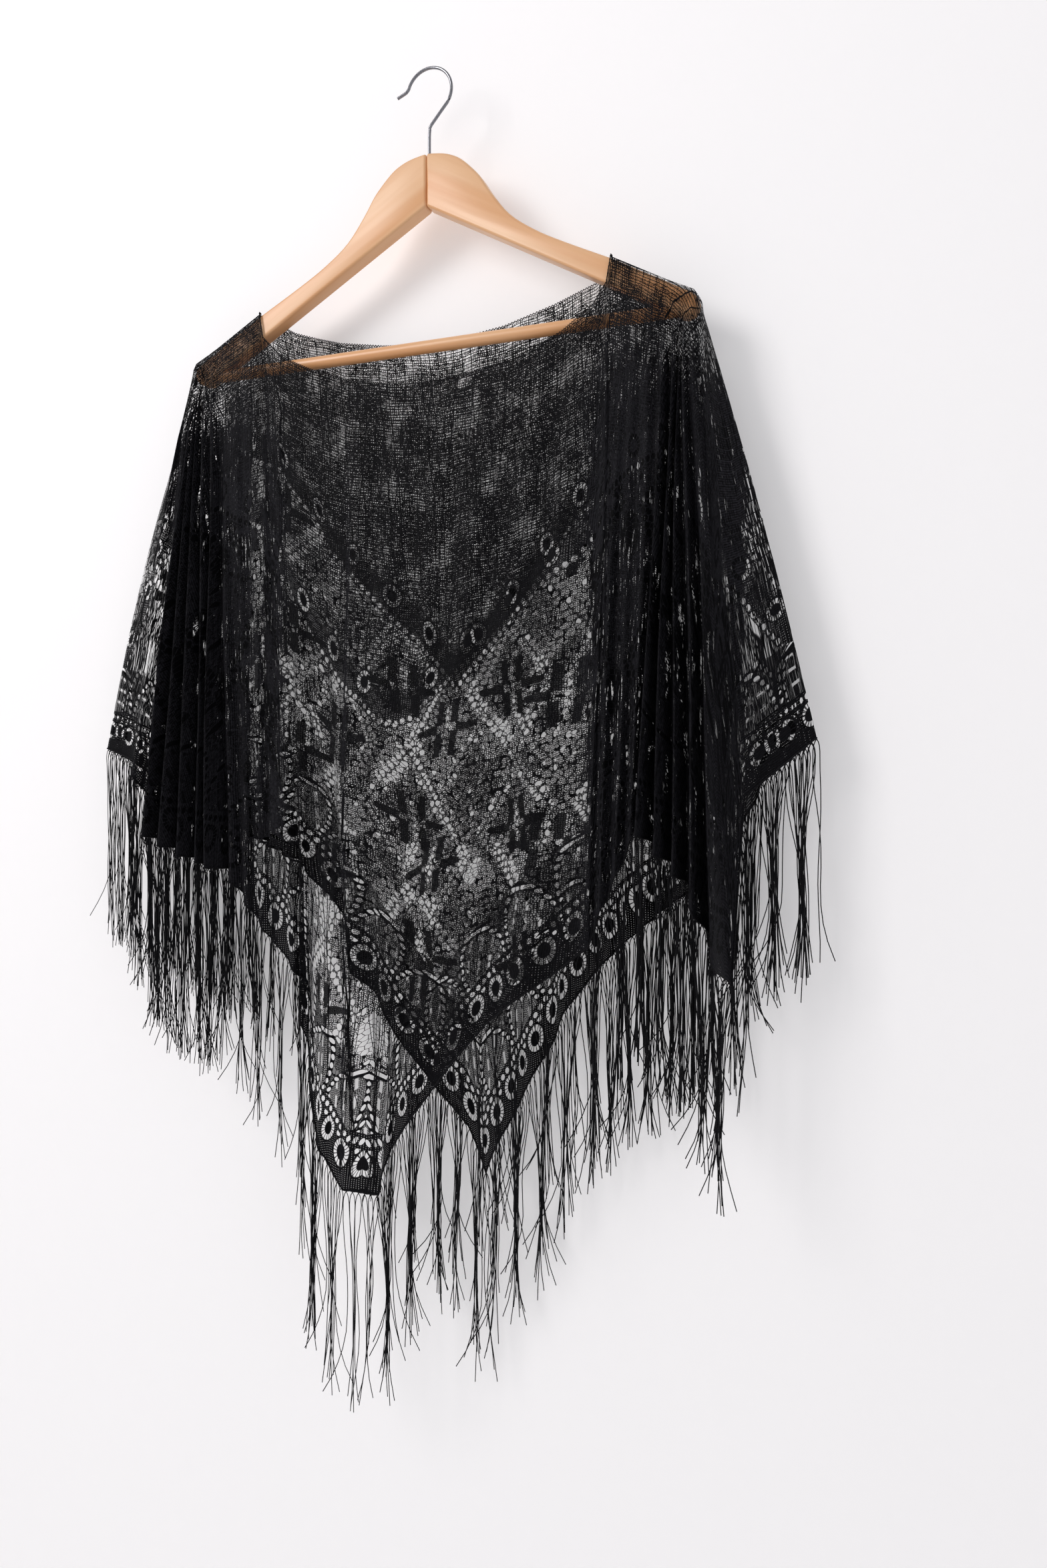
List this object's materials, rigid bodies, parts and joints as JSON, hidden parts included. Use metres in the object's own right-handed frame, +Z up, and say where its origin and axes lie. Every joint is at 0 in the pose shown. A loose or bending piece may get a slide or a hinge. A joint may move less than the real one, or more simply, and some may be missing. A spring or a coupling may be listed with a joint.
{
  "type": "lace poncho on a wooden clothes hanger",
  "caption": "Knitted lace poncho with pointed front and back, inner and border bands and long yarn fringe, hanging in soft folds on a wooden hanger with a bar and wire hook.",
  "frame": {"origin": "inner top of the hook's loop, where the hanger hangs on its peg or rail", "axes": "+X along the hanger to the viewer's right, +Y away from the viewer towards the wall, +Z up"},
  "size_m": [0.621, 0.0913, 1.0712],
  "materials": {
    "lace": "black knitted lace with a slight sheen",
    "fringe_yarn": "black twisted yarn",
    "hanger_wood": "pale varnished wood with an orange grain streak",
    "bar_wood": "round varnished wood dowel",
    "hook_wire": "bright plated steel wire"
  },
  "bodies": {
    "root": {"front_panel": "lace", "back_panel": "lace", "fringe_front_left": "fringe_yarn", "fringe_front_right": "fringe_yarn", "fringe_back_left": "fringe_yarn", "fringe_back_right": "fringe_yarn", "hanger_arm_left": "hanger_wood", "hanger_arm_right": "hanger_wood", "hanger_bar": "bar_wood", "hanger_hook": "hook_wire"}
  },
  "joints": []
}
